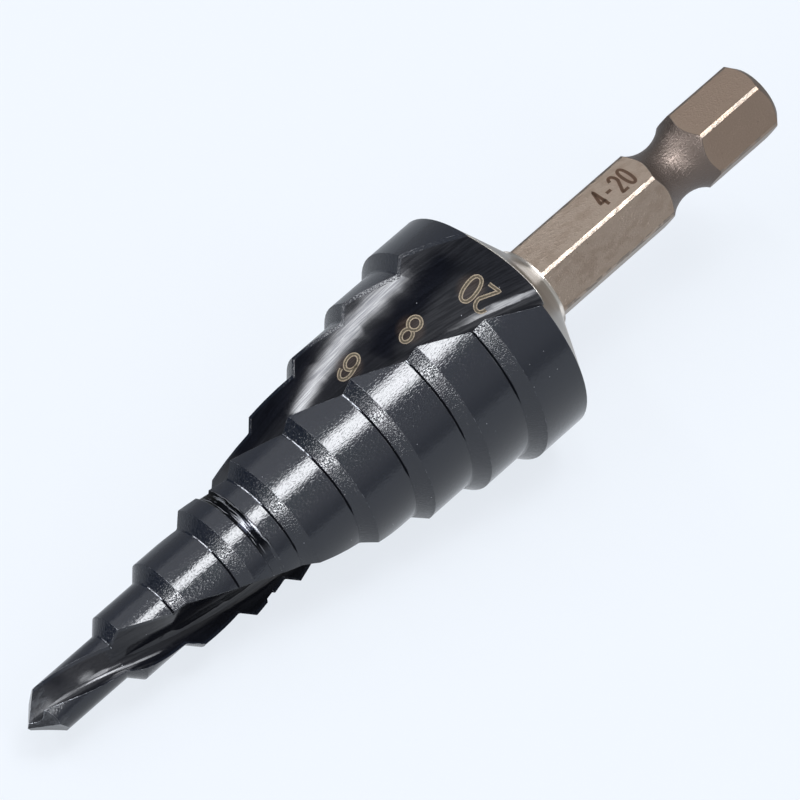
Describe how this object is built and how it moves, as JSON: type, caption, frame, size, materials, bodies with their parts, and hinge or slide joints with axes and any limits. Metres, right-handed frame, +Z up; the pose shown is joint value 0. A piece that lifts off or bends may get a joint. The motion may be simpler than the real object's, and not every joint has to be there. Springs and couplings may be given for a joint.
{
  "type": "step drill bit",
  "caption": "Step drill bit: a cone of stepped cutting lands with helical flutes and a drill point, on a hexagon quick-change shank with a detent groove.",
  "frame": {"origin": "on the floor, under the centre of the bounding box of the tool as it lies", "axes": "the tool lies with its axis in the XZ plane and its point at -X; +X runs towards the shank, which rises about 7.5 degrees, and +Z is up"},
  "size_m": [0.0772, 0.02, 0.0196],
  "materials": {
    "high_speed_steel": "dark satin oxide on the cutting body, bare satin steel on the shank"
  },
  "bodies": {
    "root": {"step_drill_bit": "high_speed_steel"}
  },
  "joints": []
}
